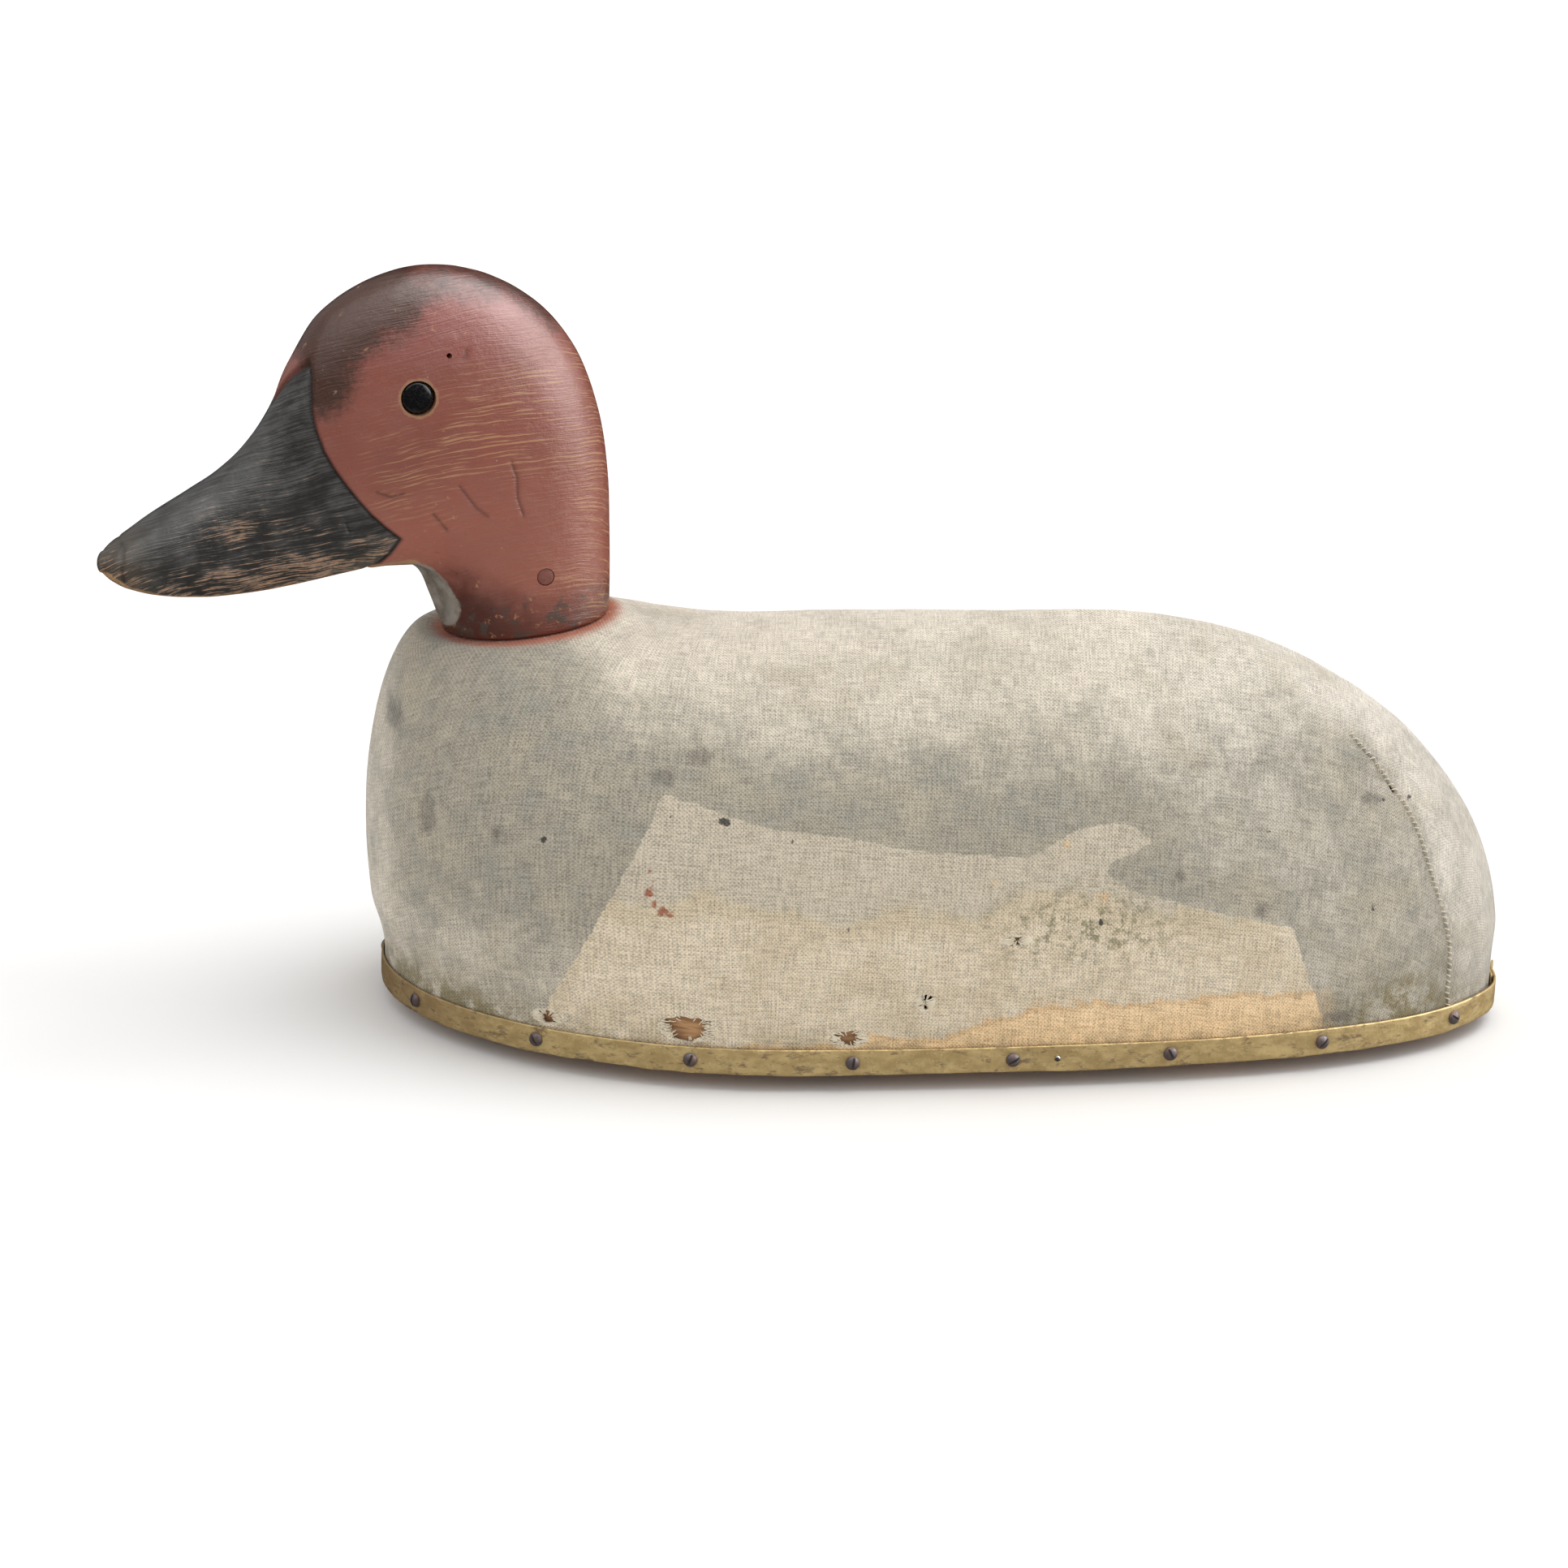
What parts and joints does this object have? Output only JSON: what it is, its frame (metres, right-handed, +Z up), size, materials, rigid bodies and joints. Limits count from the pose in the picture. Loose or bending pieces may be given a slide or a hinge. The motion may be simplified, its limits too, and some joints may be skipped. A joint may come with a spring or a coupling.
{
  "type": "floating duck decoy",
  "caption": "Canvas-covered floating duck decoy on a slatted wooden frame, with a carved head that turns on a neck dowel and a ballast plate below.",
  "frame": {"origin": "on the surface the ballast plate rests on, under the middle of the whole decoy's box", "axes": "+Z up, bill towards -X, the bird's left side towards -Y"},
  "size_m": [0.5162, 0.1969, 0.2766],
  "materials": {
    "canvas": "worn painted canvas, matt",
    "brass_strip": "tarnished",
    "bright_nail": "bare",
    "steel_fastenings": "darkened, rusty",
    "painted_head": "worn paint over pine, soft sheen",
    "painted_peg": "worn paint",
    "black_eye": "glossy",
    "lead": "dull grey lead",
    "dowel_wood": "bare",
    "pine": "bare, aged"
  },
  "bodies": {
    "decoy_body": {"base_board": "pine", "canvas_cover": "canvas", "edge_strip": "brass_strip", "strip_screw_01": "steel_fastenings", "strip_screw_02": "steel_fastenings", "strip_screw_03": "steel_fastenings", "strip_screw_04": "steel_fastenings", "strip_screw_05": "steel_fastenings", "strip_screw_06": "steel_fastenings", "strip_screw_07": "steel_fastenings", "strip_screw_08": "steel_fastenings", "strip_screw_09": "steel_fastenings", "strip_screw_10": "steel_fastenings", "strip_screw_11": "steel_fastenings", "strip_screw_12": "steel_fastenings", "strip_screw_13": "steel_fastenings", "strip_screw_14": "steel_fastenings", "strip_screw_15": "steel_fastenings", "strip_screw_16": "steel_fastenings", "strip_screw_17": "steel_fastenings", "strip_nail": "bright_nail", "breast_block": "pine", "tail_block": "pine", "rib_front": "pine", "rib_middle": "pine", "rib_rear": "pine", "slat_ridge": "pine", "slat_left_lower": "pine", "slat_right_lower": "pine", "slat_left_middle": "pine", "slat_right_middle": "pine", "slat_left_upper": "pine", "slat_right_upper": "pine", "board_screw_breast_left": "steel_fastenings", "board_screw_breast_right": "steel_fastenings", "board_screw_rib_front": "steel_fastenings", "board_screw_rib_middle": "steel_fastenings", "board_screw_rib_rear": "steel_fastenings", "board_screw_tail": "steel_fastenings", "ballast_plate": "lead", "ballast_screw_1": "steel_fastenings", "ballast_screw_2": "steel_fastenings", "ballast_screw_3": "steel_fastenings", "ballast_screw_4": "steel_fastenings", "anchor_staple": "steel_fastenings"},
    "head_assembly": {"head": "painted_head", "eye_left": "black_eye", "eye_right": "black_eye", "neck_dowel": "dowel_wood", "neck_peg": "painted_peg"}
  },
  "joints": [
    {"name": "head_swivel", "type": "hinge", "parent": "decoy_body", "child": "head_assembly", "pos_m": [-0.1067, -0.0008, 0.1455], "axis": [-0.1219, 0, 0.9925], "range_deg": [-74, 46]}
  ]
}
